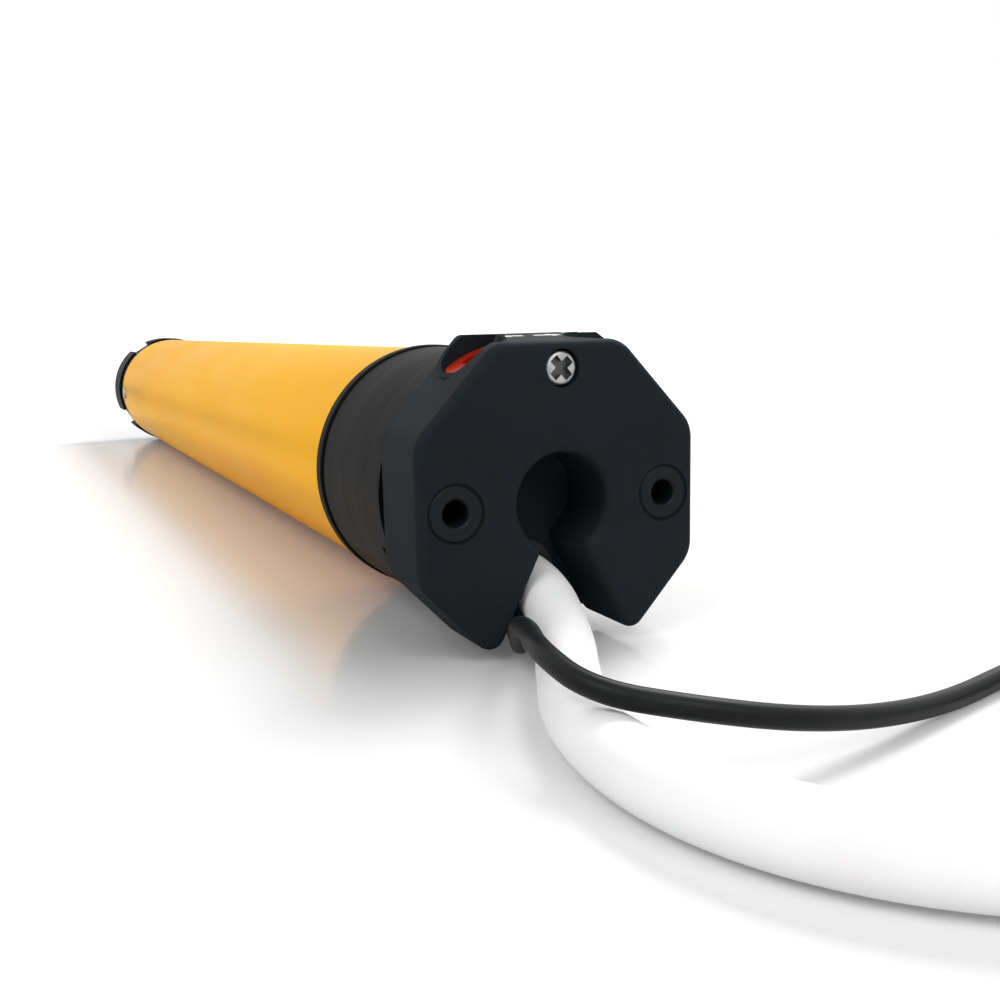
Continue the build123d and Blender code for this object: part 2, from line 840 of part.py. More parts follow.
def capacitor_holder():
    hole = capacitor_r + seat_gap
    start = capacitor_start + holder_ring_width / 2
    end = capacitor_end - holder_ring_width / 2
    body = sleeve(inner_fit_r, hole, start, start + holder_ring_width)
    body += sleeve(inner_fit_r, hole, end - holder_ring_width, end)
    for side in (-1, 1):
        low = (side * (hole + inner_fit_r) / 2 - holder_rail_half, start, -holder_rail_half)
        high = (side * (hole + inner_fit_r) / 2 + holder_rail_half, end, holder_rail_half)
        body += block(low, high)
    return body


# Motor
def end_bell(start, skirt_start, skirt_end, bearing_at):
    """A plate with a bearing pocket and a skirt that reaches the stator."""
    body = rod(inner_fit_r, start, start + bell_plate)
    body += sleeve(inner_fit_r, inner_fit_r - bell_skirt_wall, skirt_start, skirt_end)
    body -= rod(bearing_r + seat_gap, bearing_at, bearing_at + bearing_width + seat_gap)
    return body - rod(shaft_r + 2 * side_gap, start - overrun, start + bell_plate + overrun)


def front_end_bell():
    skirt_end = stator_start - seat_gap
    return end_bell(bell_start, bell_start, skirt_end, bell_start + bearing_lip)


def rear_end_bell():
    start = rear_bell_start
    pocket = start + bell_plate - bearing_lip - bearing_width
    return end_bell(start, stator_end + seat_gap, start + bell_plate, pocket)


def bearing_places():
    rear = rear_bell_start + bell_plate - bearing_lip - bearing_width
    return (bell_start + bearing_lip + seat_gap, rear)


def rotor_bearings():
    pair = []
    for y in bearing_places():
        pair.append(sleeve(bearing_r, shaft_r + run_gap, y, y + bearing_width))
    return Compound(pair)


def slot_places():
    step = 2 * math.pi / slot_count
    return [polar(slot_centre_r, index * step) for index in range(slot_count)]


def stator_core():
    sketch = Circle(inner_fit_r) - Circle(stator_bore_r)
    mouth = Rectangle(slot_centre_r - stator_bore_r + overrun, slot_r)
    opening = Pos((stator_bore_r + slot_centre_r) / 2, 0) * mouth
    for index, (x, z) in enumerate(slot_places()):
        sketch -= Pos(x, z) * Circle(slot_r)
        sketch -= Rot(0, 0, index * 360 / slot_count) * opening
    return prism(sketch, stator_start, stator_end)


def stator_windings():
    """Wire bars through the slots, joined by the end turns at both ends."""
    front = stator_start - end_turn_length
    body = sleeve(end_turn_outer_r, end_turn_inner_r, front, stator_start - side_gap)
    rear = stator_end + end_turn_length
    body += sleeve(end_turn_outer_r, end_turn_inner_r, stator_end + side_gap, rear)
    rims = outer_rims(body, end_turn_inner_r + overrun)
    body = fillet(rims, (end_turn_outer_r - end_turn_inner_r) / 3)
    for x, z in slot_places():
        body += rod(coil_bar_r, stator_start - overrun, stator_end + overrun, x, z)
    return body


def thermal_cutout():
    start = stator_start - end_turn_length - seat_gap - cutout_thickness
    middle = (end_turn_inner_r + end_turn_outer_r) / 2
    low = (-cutout_length / 2, start, middle - cutout_width / 2)
    return block(low, (cutout_length / 2, start + cutout_thickness, middle + cutout_width / 2))


def rotor_core():
    outer_r = stator_bore_r - rotor_air_gap
    body = sleeve(outer_r, shaft_r, stator_start, stator_end)
    ring_r = (outer_r + shaft_r) / 2
    body += sleeve(outer_r, ring_r, stator_start - end_ring_length, stator_start)
    return body + sleeve(outer_r, ring_r, stator_end, stator_end + end_ring_length)


def rotor_shaft():
    """The rotor's shaft, ending in the first sun gear."""
    body = rod(shaft_r, bearing_places()[0], ring_floor)
    sun = gear_sketch(sun_teeth, gear_module, 0)
    return body + prism(sun, ring_floor, stage_end(0) - side_gap)


# Brake
def brake_coil():
    body = sleeve(inner_fit_r, brake_bore_r, brake_start, brake_face)
    pocket_start = brake_face - brake_pocket_depth
    return body - sleeve(brake_pocket_outer_r, brake_pocket_inner_r, pocket_start, brake_face + overrun)


def brake_spring():
    """A disc spring: a shallow cone between the coil housing's pocket and the plate."""
    start = brake_face - brake_pocket_depth
    end = plate_start - brake_travel - side_gap / 2
    outline = Polygon(
        (spring_outer_r, start + seat_gap),
        (spring_outer_r, start + seat_gap + spring_thickness),
        (spring_inner_r, end),
        (spring_inner_r, end - spring_thickness),
        align=None,
    )
    return revolve(outline, axis=Axis.Y)


def brake_plate():
    return sleeve(inner_fit_r - 2 * run_gap, brake_bore_r, plate_start, plate_end)


def brake_disc():
    return sleeve(brake_disc_r, shaft_r, disc_start, disc_end)


# Gearbox
def planet_orbit():
    return (sun_teeth + planet_teeth) * gear_module / 2


def planet_angle(index):
    return index * 2 * math.pi / planet_count


def planet_centre(index):
    return polar(planet_orbit(), planet_angle(index))


def ring_gear():
    body = rod(inner_fit_r, ring_start, ring_end)
    hole = ring_hole_sketch(ring_teeth, gear_module, math.pi / ring_teeth)
    body -= prism(hole, ring_floor, ring_end + overrun)
    return body - rod(shaft_r + side_gap, ring_start - overrun, ring_floor + overrun)


def planet(stage, index):
    phase = planet_angle(index) + math.pi / planet_teeth
    teeth = gear_sketch(planet_teeth, gear_module, phase) - Circle(planet_pin_r + run_gap)
    x, z = planet_centre(index)
    return prism(Pos(x, z) * teeth, stage_start(stage), stage_end(stage))


def carrier(stage):
    """A carrier plate with its planet pins on the motor's side."""
    plate_at = stage_end(stage) + side_gap
    body = rod(carrier_r, plate_at, plate_at + carrier_plate)
    for index in range(planet_count):
        x, z = planet_centre(index)
        body += rod(planet_pin_r, stage_start(stage), plate_at, x, z)
    return body


def geared_carrier(stage):
    """A carrier with the next stage's sun gear on its other side."""
    sun = gear_sketch(sun_teeth, gear_module, 0)
    plate_end_y = stage_end(stage) + side_gap + carrier_plate
    return carrier(stage) + prism(sun, plate_end_y, stage_end(stage + 1) - side_gap)


def output_carrier():
    """The last carrier with the output shaft, whose end is six-sided for the wheel."""
    body = carrier(2) + rod(output_r, stage_end(2) + side_gap, wheel_start)
    body += prism(RegularPolygon(output_r, 6), wheel_start, output_end)
    groove = Rectangle(4 * output_r, 4 * output_r) - Circle(clip_groove_r)
    return body - prism(groove, clip_start, clip_start + clip_width)


def gearbox_cap():
    body = rod(inner_fit_r, cap_start, tube_end) + rod(tube_outer_r, tube_end + seat_gap, cap_end)
    body += rod(inner_fit_r, tube_end - overrun, tube_end + overrun)
    body -= rod(output_bush_r + seat_gap, cap_start - overrun, cap_end + overrun)
    body -= rod(output_bush_flange_r + seat_gap, cap_end - output_bush_flange, cap_end + overrun)
    for angle in cap_screw_angles:
        body -= tube_screw(angle, cap_screw_y(), seat_gap)
    return body


def output_bush():
    hole = output_r + run_gap
    body = sleeve(output_bush_r, hole, cap_start + seat_gap, cap_end)
    flange_start = cap_end - output_bush_flange + seat_gap
    return body + sleeve(output_bush_flange_r, hole, flange_start, cap_end)


def drive_wheel():
    """Hub, web, ribs and rim, with four notches that take the roller's keys."""
    inner_r = wheel_r - wheel_rim_wall
    body = sleeve(wheel_r, inner_r, wheel_start, wheel_end)
    body = fillet(outer_rims(body, inner_r + overrun), crown_edge_r)
    body += rod(wheel_hub_r, wheel_start, wheel_end)
    middle = (wheel_start + wheel_end) / 2
    body += rod(inner_r + overrun, middle - wheel_web / 2, middle + wheel_web / 2)
    reach = inner_r + overrun
    for index in range(wheel_rib_count):
        low = (wheel_hub_r - overrun, wheel_start + overrun, -wheel_rib_width / 2)
        high = (reach, wheel_end - overrun, wheel_rib_width / 2)
        body += turned(block(low, high), (index + 0.5) * 2 * math.pi / wheel_rib_count)
    for quarter in range(4):
        low = (wheel_r - wheel_notch_depth, wheel_start - overrun, -wheel_notch_width / 2)
        high = (wheel_r + overrun, wheel_end + overrun, wheel_notch_width / 2)
        angle = math.pi + wheel_notch_angle + quarter * math.pi / 2
        body -= turned(block(low, high), angle)
    hole = RegularPolygon(output_r + seat_gap, 6)
    return body - prism(hole, wheel_start - overrun, wheel_end + overrun)


def wheel_clip():
    body = sleeve(clip_r, clip_groove_r + seat_gap, clip_start, clip_start + clip_width)
    mouth = block(
        (-clip_groove_r * 0.8, clip_start - overrun, -2 * clip_r),
        (clip_groove_r * 0.8, clip_start + 2 * clip_width, 0),
    )
    return body - mouth


# Cords
def corner_radii(points):
    """Each corner's radius: 0.45 of the shorter run, over the tangent of half the turn."""
    radii = []
    for before, here, after in zip(points, points[1:], points[2:]):
        run_in = Vector(*here) - Vector(*before)
        run_out = Vector(*after) - Vector(*here)
        half_turn = math.radians(run_in.get_angle(run_out)) / 2
        radii.append(0.45 * min(run_in.length, run_out.length) / math.tan(half_turn))
    return radii


def swept(path, radius):
    start = Plane(origin=path @ 0, z_dir=path % 0)
    return sweep(start * Circle(radius), path=path)


def report(name, solid, path, radius):
    share = solid.volume / (math.pi * radius**2 * path.length)
    print(f"{name}: length {path.length:.1f}, volume {share:.4f} of section times length")


def cord_run(name, points, radius):
    radii = corner_radii(points)
    print(name, "corner radii", [round(r, 1) for r in radii])
    path = FilletPolyline(*points, radius=radii)
    solid = swept(path, radius)
    report(name, solid, path, radius)
    return solid


def coil_frame(route, radius, start_r):
    """Where a coil begins: its cord's end, that run's direction, and the way in to the centre."""
    last = Vector(*route[-1])
    along = Vector(last.X - route[-2][0], last.Y - route[-2][1], 0).normalized()
    inward = Vector(along.Y, -along.X, 0)
    return last, along, inward, last + along * 2 * radius + inward * start_r


def half_turn_radii(start_r, pitch):
    radii = [start_r - index * pitch / 2 for index in range(coil_in_halves + 1)]
    inner = radii[-1]
    return radii + [inner + index * pitch / 2 for index in range(coil_out_halves + 1)]


def coil_path(route, radius, start_r, pitch, step):
    """A coil that goes on from the route's last point, ending one diameter after its last turn."""
    last, along, inward, centre = coil_frame(route, radius, start_r)
    lead_in = last + along * 2 * radius
    edges = [Edge.make_line(last, lead_in)]
    point, tangent, side = lead_in, along, -1
    for index, turn_r in enumerate(half_turn_radii(start_r, pitch)[1:]):
        side = -side
        rise = step if index >= coil_in_halves else 0
        goal = centre + inward * (side * turn_r)
        goal = Vector(goal.X, goal.Y, last.Z + rise)
        reach = (goal - point).length / 2
        middle = (point + goal) * 0.5 + tangent * reach
        first = Edge.make_tangent_arc(point, tangent, middle)
        second = Edge.make_tangent_arc(middle, first % 1, goal)
        edges += [first, second]
        point, tangent = goal, tangent * -1
    edges.append(Edge.make_line(point, point + tangent * 2 * radius))
    return Wire(edges)


def least_gap(path, radius):
    """Least gap of a wound tube to itself, measured on points along it."""
    count = int(path.length / radius)
    points = [path @ (index / count) for index in range(count + 1)]
    step = path.length / count
    skip = int(math.pi * 4 * radius / step)
    least = path.length
    for index, here in enumerate(points):
        for other in points[index + skip:]:
            least = min(least, (here - other).length)
    return least - 2 * radius


def cord_coil(name, route, radius, start_r, pitch, step):
    path = coil_path(route, radius, start_r, pitch, step)
    solid = swept(path, radius)
    report(name, solid, path, radius)
    print(name, "least gap to itself", round(least_gap(path, radius), 2))
    return solid


def cable_coil_wire():
    return coil_path(cable_route, cable_r, cable_coil_r, cable_coil_pitch, cable_layer_step)


def lead_coil_wire():
    return coil_path(lead_route, lead_r, lead_coil_r, lead_coil_pitch, lead_layer_step)


def stripped_cores(path, radius, ring_r, length, count):
    """Bare cores that stand out of a cord's cut jacket."""
    end, along = path @ 1, path % 1
    face = Plane(origin=end, z_dir=along)
    cores = []
    for index in range(count):
        x, y = polar(ring_r, (index + 0.5) * 2 * math.pi / count)
        core = Cylinder(radius, length, align=(Align.CENTER, Align.CENTER, Align.MIN))
        cores.append(face * Pos(x, y, 0) * core)
    return Compound(cores)


def coil_tie(route, radius, start_r, pitch, step, angle):
    """A flat band round the coil's section, at an angle from the cord's last run."""
    last, along, inward, centre = coil_frame(route, radius, start_r)
    out = (inward * -1).rotate(Axis.Z, angle)
    across = Vector(0, 0, 1).cross(out)
    path = coil_path(route, radius, start_r, pitch, step)
    count = int(4 * path.length / radius)
    reaches = []
    for index in range(count + 1):
        point = path @ (index / count) - centre
        if abs(point.dot(across)) < tie_width and point.dot(out) > 0:
            reaches.append(point.dot(out))
    slack = radius + tie_play
    inner, outer = min(reaches) - slack, max(reaches) + slack
    low, high = last.Z - slack, last.Z + step + slack
    width, height = outer - inner, high - low
    band = Rectangle(width + 2 * tie_thickness, height + 2 * tie_thickness)
    band -= Rectangle(width, height)
    middle = centre + out * ((outer + inner) / 2)
    plane = Plane(origin=(middle.X, middle.Y, (low + high) / 2), x_dir=out, z_dir=across)
    return extrude(plane * band, amount=tie_width / 2, both=True)


def coil_ties():
    cable = (cable_route, cable_r, cable_coil_r, cable_coil_pitch, cable_layer_step)
    lead = (lead_route, lead_r, lead_coil_r, lead_coil_pitch, lead_layer_step)
    return Compound([coil_tie(*cord, angle) for cord in (cable, lead) for angle in tie_angles])


def nodes():
    """Every node's name and shape."""
    made = {
        "head_cover": head_cover(),
        "head_base": head_base(),
        "fixing_sleeves": fixing_sleeves(),
        "cover_screw": cover_screw(),
        "limit_adjuster_left": limit_adjuster(-1),
        "limit_adjuster_right": limit_adjuster(1),
        "cable_grommet": cable_grommet(),
        "cable_clamp": cable_clamp(),
        "clamp_screws": clamp_screws(),
        "crown_ring": crown_ring(),
        "crown_retainer": crown_retainer(),
        "limit_pinion": limit_pinion(),
        "cam_wheel_front": cam_wheel(0),
        "cam_wheel_rear": cam_wheel(1),
        "cam_spindle": cam_spindle(),
        "limit_chassis": limit_chassis(),
        "limit_switches": limit_switches(),
        "switch_plunger_front": switch_plunger(0),
        "switch_plunger_rear": switch_plunger(1),
        "motor_tube": motor_tube(),
        "tube_screws": tube_screws(),
        "capacitor": capacitor(),
        "capacitor_holder": capacitor_holder(),
        "front_end_bell": front_end_bell(),
        "rear_end_bell": rear_end_bell(),
        "rotor_bearings": rotor_bearings(),
        "stator_core": stator_core(),
        "stator_windings": stator_windings(),
        "thermal_cutout": thermal_cutout(),
        "rotor_core": rotor_core(),
        "rotor_shaft": rotor_shaft(),
        "brake_coil": brake_coil(),
        "brake_spring": brake_spring(),
        "brake_plate": brake_plate(),
        "brake_disc": brake_disc(),
        "ring_gear": ring_gear(),
        "carrier_1": geared_carrier(0),
        "carrier_2": geared_carrier(1),
        "output_carrier": output_carrier(),
        "gearbox_cap": gearbox_cap(),
        "output_bush": output_bush(),
        "drive_wheel": drive_wheel(),
        "wheel_clip": wheel_clip(),
        "power_cable_run": cord_run("power cable", cable_route, cable_r),
        "control_lead_run": cord_run("control lead", lead_route, lead_r),
        "coil_ties": coil_ties(),
    }
    for stage in range(3):
        for index in range(planet_count):
            made[f"planet_{stage + 1}_{index + 1}"] = planet(stage, index)
    made["power_cable_coil"] = cord_coil(
        "power cable coil", cable_route, cable_r, cable_coil_r, cable_coil_pitch, cable_layer_step
    )
    made["control_lead_coil"] = cord_coil(
        "control lead coil", lead_route, lead_r, lead_coil_r, lead_coil_pitch, lead_layer_step
    )
    made["power_cable_cores"] = stripped_cores(
        cable_coil_wire(), core_r, core_ring_r, core_length, core_count
    )
    made["control_lead_cores"] = stripped_cores(
        lead_coil_wire(), lead_core_r, lead_core_ring_r, lead_core_length, lead_core_count
    )
    return made


os.makedirs("parts", exist_ok=True)
for name, shape in nodes().items():
    export_step(shape, f"parts/{name}.step")
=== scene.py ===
import json
import math

import bmesh
import bpy
from mathutils import Matrix, Vector


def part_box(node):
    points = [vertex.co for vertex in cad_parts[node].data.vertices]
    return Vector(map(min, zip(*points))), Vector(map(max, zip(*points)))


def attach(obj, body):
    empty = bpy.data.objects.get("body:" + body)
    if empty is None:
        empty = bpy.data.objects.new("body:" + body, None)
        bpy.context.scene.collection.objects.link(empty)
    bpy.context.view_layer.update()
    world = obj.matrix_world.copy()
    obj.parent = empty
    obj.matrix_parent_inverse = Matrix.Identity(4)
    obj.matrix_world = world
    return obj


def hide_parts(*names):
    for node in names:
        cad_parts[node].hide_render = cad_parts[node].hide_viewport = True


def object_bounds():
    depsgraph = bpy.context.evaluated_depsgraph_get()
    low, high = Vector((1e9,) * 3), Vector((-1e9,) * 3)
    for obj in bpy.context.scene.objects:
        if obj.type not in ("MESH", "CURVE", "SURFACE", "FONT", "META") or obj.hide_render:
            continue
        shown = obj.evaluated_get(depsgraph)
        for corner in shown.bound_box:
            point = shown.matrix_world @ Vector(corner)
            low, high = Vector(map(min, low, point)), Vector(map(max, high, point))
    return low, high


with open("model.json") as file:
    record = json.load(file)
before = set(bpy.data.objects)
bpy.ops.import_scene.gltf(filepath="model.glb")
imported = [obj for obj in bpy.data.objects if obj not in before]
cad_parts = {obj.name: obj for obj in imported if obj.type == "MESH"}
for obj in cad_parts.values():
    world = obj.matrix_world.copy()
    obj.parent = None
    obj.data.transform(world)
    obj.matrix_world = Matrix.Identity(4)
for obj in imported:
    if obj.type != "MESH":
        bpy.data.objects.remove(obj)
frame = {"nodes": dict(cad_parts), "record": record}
scene = bpy.context.scene
nodes = frame["nodes"]
cad_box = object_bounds()

# Named lengths are in mm, or in metres where the name ends in _M or a comment says so.
MM = 0.001


def in_mm(length):
    """A length from the frame in mm, to the nearest micrometre."""
    return round(length / MM, 3)


# Camera: the photograph's view, solved from the head's outline.
CAMERA_PLACE = (-76.87, -138.03, 27.19)
CAMERA_YAW = math.radians(25.58)
CAMERA_PITCH = math.radians(-9.545)
CAMERA_ROLL = math.radians(-1.354)
LENS = 38.22
SENSOR = 36
CLIP_NEAR_M = 0.005
CLIP_FAR_M = 50


def make_camera():
    yaw, pitch, roll = CAMERA_YAW, CAMERA_PITCH, CAMERA_ROLL
    ahead = math.cos(pitch)
    forward = Vector((math.sin(yaw) * ahead, math.cos(yaw) * ahead, math.sin(pitch)))
    level = forward.cross(Vector((0, 0, 1))).normalized()
    upright = level.cross(forward)
    right = level * math.cos(roll) + upright * math.sin(roll)
    up = upright * math.cos(roll) - level * math.sin(roll)
    data = bpy.data.cameras.new("camera")
    data.lens = LENS
    data.sensor_width = SENSOR
    data.clip_start = CLIP_NEAR_M
    data.clip_end = CLIP_FAR_M
    camera = bpy.data.objects.new("camera", data)
    turn = Matrix((right, up, -forward)).transposed().to_4x4()
    camera.matrix_world = Matrix.Translation(Vector(CAMERA_PLACE) * MM) @ turn
    scene.collection.objects.link(camera)
    scene.camera = camera


make_camera()


# Cords: the free stretches' points are those of the solids, and the coils go on from them.
FLOOR = in_mm(cad_box[0].z)
TIE_LIFT = 0.8
CABLE_R = 4.3
LEAD_R = 1.45
CABLE_REST = FLOOR + TIE_LIFT + CABLE_R
LEAD_REST = FLOOR + TIE_LIFT + LEAD_R
CABLE_ROUTE = [
    (-0.9, 23.5, -13.2),
    (-0.9, 7.4, -13.2),
    (-4.4, -7.5, -18.4),
    (-11.6, -21.0, -18.9),
    (-18.7, -36.0, -18.9),
    (-20.4, -54.5, -18.8),
    (-14.0, -72.0, -18.6),
    (0.0, -85.5, -18.4),
    (19.5, -93.5, CABLE_REST),
    (43.0, -96.5, CABLE_REST),
    (66.0, -97.5, CABLE_REST),
]
LEAD_ROUTE = [
    (-5.9, 20.0, -17.4),
    (-5.9, 8.0, -17.4),
    (-9.1, -3.0, -21.1),
    (-14.3, -11.4, -14.1),
    (-17.5, -21.2, -11.5),
    (-21.6, -31.7, -10.8),
    (-21.2, -43.4, -12.4),
    (-11.4, -49.8, -14.1),
    (0.6, -51.6, -16.9),
    (14.1, -50.2, -19.6),
    (29.0, -47.0, -21.5),
    (45.0, -43.0, -21.5),
    (61.0, -40.0, LEAD_REST),
    (77.0, -40.0, LEAD_REST),
]

# A coil's first radius, the gap between its turns' middles, and its second layer's lift.
CABLE_COIL = {"start_r": 57.0, "pitch": 11.0, "step": 9.7}
LEAD_COIL = {"start_r": 20.0, "pitch": 4.1, "step": 3.6}
TURN_POINTS = 16
IN_TURNS = 2.0
CLIMB_TURNS = 0.5
OUT_TURNS = 2.0
TAIL_RADII = 2


def coil_points(route, radius, start_r, pitch, step):
    """Turns that wind inwards on the floor, climb for half a turn, and wind outwards on top."""
    last = Vector(route[-1])
    along = Vector((last.x - route[-2][0], last.y - route[-2][1], 0)).normalized()
    inward = Vector((along.y, -along.x, 0))
    lead_in = last + along * TAIL_RADII * radius
    centre = lead_in + inward * start_r
    wider = 1 / math.cos(math.pi / TURN_POINTS) ** 2
    points = [tuple(lead_in)]
    turns = IN_TURNS + CLIMB_TURNS + OUT_TURNS
    for index in range(int(turns * TURN_POINTS)):
        turn = (index + 0.5) / TURN_POINTS
        inwards = min(turn, IN_TURNS)
        climb = min(max(turn - IN_TURNS, 0), CLIMB_TURNS) / CLIMB_TURNS
        outwards = max(turn - IN_TURNS - CLIMB_TURNS, 0)
        reach = (start_r - pitch * inwards + pitch * outwards) * wider
        angle = turn * 2 * math.pi
        place = centre - inward * (reach * math.cos(angle)) + along * (reach * math.sin(angle))
        points.append((place.x, place.y, last.z + step * climb))
    end_r = start_r - pitch * IN_TURNS + pitch * OUT_TURNS
    angle = turns * 2 * math.pi
    end = centre - inward * (end_r * math.cos(angle)) + along * (end_r * math.sin(angle))
    heading = inward * math.sin(angle) + along * math.cos(angle)
    tail = end + heading * TAIL_RADII * radius
    points.append((end.x, end.y, last.z + step))
    points.append((tail.x, tail.y, last.z + step))
    return points


def add_piece(name, data):
    """An object of the given mesh or curve that rides on the motor's body."""
    piece = bpy.data.objects.new(name, data)
    scene.collection.objects.link(piece)
    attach(piece, "motor")
    return piece


def cord_curve(name, points, radius):
    """A round cord along a smooth curve that has the points as its control points."""
    data = bpy.data.curves.new(name, "CURVE")
    data.dimensions = "3D"
    data.bevel_depth = 1.0
    data.bevel_resolution = 10
    data.resolution_u = 12
    data.use_fill_caps = True
    spline = data.splines.new("NURBS")
    spline.points.add(len(points) - 1)
    for point, place in zip(spline.points, points):
        point.co = (*(c * MM for c in place), 1)
        point.radius = radius * MM
    spline.order_u = 3
    spline.use_endpoint_u = True
    return add_piece(name, data)


def make_cords():
    cable_points = CABLE_ROUTE + coil_points(CABLE_ROUTE, CABLE_R, **CABLE_COIL)
    cable = cord_curve("power_cable", cable_points, CABLE_R)
    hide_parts("power_cable_run", "power_cable_coil")
    lead_points = LEAD_ROUTE + coil_points(LEAD_ROUTE, LEAD_R, **LEAD_COIL)
    lead = cord_curve("control_lead", lead_points, LEAD_R)
    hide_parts("control_lead_run", "control_lead_coil")
    return cable, lead


cable, lead = make_cords()


# Two arrows on the head's roof, which climbs towards the back from ROOF_START.
ROOF_TOP = in_mm(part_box("head_base")[1].z)
ROOF_START = 1.6
ROOF_RISE = 1.0
ROOF_LENGTH = 15.4
MARK_HEIGHT = 0.08
MARK_X = 3.5
MARK_Y = 11.0
ARROW_HALF_LENGTH = 2.5
ARROW_HEAD_START = 0.2
ARROW_HEAD_HALF = 1.7
ARROW_SHAFT_HALF = 0.6


def roof_height(y):
    return ROOF_TOP - ROOF_RISE * (1 - (y - ROOF_START) / ROOF_LENGTH)


def roof_mark(name, outline):
    """A thin raised mark on the head's sloping roof, from an outline of (x, y) points."""
    mesh = bpy.data.meshes.new(name)
    built = bmesh.new()
    low = [built.verts.new((x * MM, y * MM, roof_height(y) * MM)) for x, y in outline]
    face = built.faces.new(low)
    lifted = bmesh.ops.extrude_face_region(built, geom=[face])["geom"]
    tops = [v for v in lifted if isinstance(v, bmesh.types.BMVert)]
    bmesh.ops.translate(built, verts=tops, vec=(0, 0, MARK_HEIGHT * MM))
    bmesh.ops.recalc_face_normals(built, faces=built.faces)
    built.to_mesh(mesh)
    built.free()
    return add_piece(name, mesh)


def arrow(side):
    """An arrow's outline that points outwards on one side of the roof."""
    shape = [
        (-ARROW_HALF_LENGTH, -ARROW_SHAFT_HALF),
        (ARROW_HEAD_START, -ARROW_SHAFT_HALF),
        (ARROW_HEAD_START, -ARROW_HEAD_HALF),
        (ARROW_HALF_LENGTH, 0),
        (ARROW_HEAD_START, ARROW_HEAD_HALF),
        (ARROW_HEAD_START, ARROW_SHAFT_HALF),
        (-ARROW_HALF_LENGTH, ARROW_SHAFT_HALF),
    ]
    return [(side * (MARK_X + dx), MARK_Y + side * dy) for dx, dy in shape]


marks = [roof_mark("roof_mark_left", arrow(-1)), roof_mark("roof_mark_right", arrow(1))]


# Materials: colours are written as a picture's, from 0 to 255, and noise scales are per metre.
# FINE_M is a fine bump's distance. The screw's cross recess gets painted shade within SCREW_CROSS_R
# of its middle and below SCREW_SHADE_DEPTH under its face, each as a soft step between two lengths.
FINE_M = 0.0001
SCREW_LOW, SCREW_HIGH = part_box("cover_screw")
SCREW_Z = in_mm((SCREW_LOW.z + SCREW_HIGH.z) / 2)
SCREW_FACE_Y = in_mm(SCREW_LOW.y)
SCREW_CROSS_R = (1.9, 2.1)
SCREW_SHADE_DEPTH = (0.05, 0.3)


def linear(*srgb):
    """A colour as a picture writes it, from 0 to 255, as linear light."""
    values = []
    for value in srgb:
        share = value / 255
        values.append(share / 12.92 if share <= 0.04045 else ((share + 0.055) / 1.055) ** 2.4)
    return (*values, 1.0)


class Nodes:
    """A material's node tree, with its shader and a few short ways to add texture nodes."""

    def __init__(self, name):
        self.material = bpy.data.materials.new(name)
        self.material.use_nodes = True
        self.tree = self.material.node_tree
        self.shader = next(n for n in self.tree.nodes if n.type == "BSDF_PRINCIPLED")
        coords = self.tree.nodes.new("ShaderNodeTexCoord")
        self.place = coords.outputs["Object"]

    def link(self, out, into):
        self.tree.links.new(out, into)

    def set(self, **values):
        for key, value in values.items():
            self.shader.inputs[key.replace("_", " ")].default_value = value

    def noise(self, scale, detail=2.0, rough=0.5, stretch=None):
        """Noise in the object's own place, whose scale can differ from axis to axis."""
        node = self.tree.nodes.new("ShaderNodeTexNoise")
        node.inputs["Scale"].default_value = scale
        node.inputs["Detail"].default_value = detail
        node.inputs["Roughness"].default_value = rough
        self.link(self.stretched(stretch), node.inputs["Vector"])
        return node.outputs["Fac"]

    def stretched(self, stretch):
        if stretch is None:
            return self.place
        node = self.tree.nodes.new("ShaderNodeMapping")
        node.inputs["Scale"].default_value = stretch
        self.link(self.place, node.inputs["Vector"])
        return node.outputs["Vector"]

    def ramp(self, fac, stops):
        """A colour ramp from (place, colour) stops."""
        node = self.tree.nodes.new("ShaderNodeValToRGB")
        ramp = node.color_ramp
        while len(ramp.elements) < len(stops):
            ramp.elements.new(0.5)
        for element, (place, colour) in zip(ramp.elements, stops):
            element.position = place
            element.color = colour
        self.link(fac, node.inputs["Fac"])
        return node.outputs["Color"]

    def spread(self, fac, low, high, start=0.3, end=0.7):
        """A factor between start and end, spread from low to high."""
        node = self.tree.nodes.new("ShaderNodeMapRange")
        node.inputs["From Min"].default_value = start
        node.inputs["From Max"].default_value = end
        node.inputs["To Min"].default_value = low
        node.inputs["To Max"].default_value = high
        self.link(fac, node.inputs["Value"])
        return node.outputs["Result"]

    def bump(self, heights):
        """Bumps in a row: (height output, strength, distance)."""
        normal = None
        for height, strength, distance in heights:
            node = self.tree.nodes.new("ShaderNodeBump")
            node.inputs["Strength"].default_value = strength
            node.inputs["Distance"].default_value = distance
            self.link(height, node.inputs["Height"])
            if normal is not None:
                self.link(normal, node.inputs["Normal"])
            normal = node.outputs["Normal"]
        self.link(normal, self.shader.inputs["Normal"])

    def tints(self, fac, dark, light, start=0.3, end=0.7):
        """The base colour, from dark to light with a factor."""
        stops = [(start, linear(*dark)), (end, linear(*light))]
        self.link(self.ramp(fac, stops), self.shader.inputs["Base Color"])

    def roughness(self, out):
        self.link(out, self.shader.inputs["Roughness"])


def separated(tree, place):
    """The x, y and z of a place."""
    node = tree.nodes.new("ShaderNodeSeparateXYZ")
    tree.links.new(place, node.inputs[0])
    return node.outputs["X"], node.outputs["Y"], node.outputs["Z"]


def eased(tree, value, low, high, result=(0.0, 1.0)):
    """A smooth step of a value between two lengths in millimetres."""
    node = tree.nodes.new("ShaderNodeMapRange")
    node.interpolation_type = "SMOOTHSTEP"
    node.inputs["From Min"].default_value = low * MM
    node.inputs["From Max"].default_value = high * MM
    node.inputs["To Min"].default_value, node.inputs["To Max"].default_value = result
    tree.links.new(value, node.inputs["Value"])
    return node.outputs["Result"]


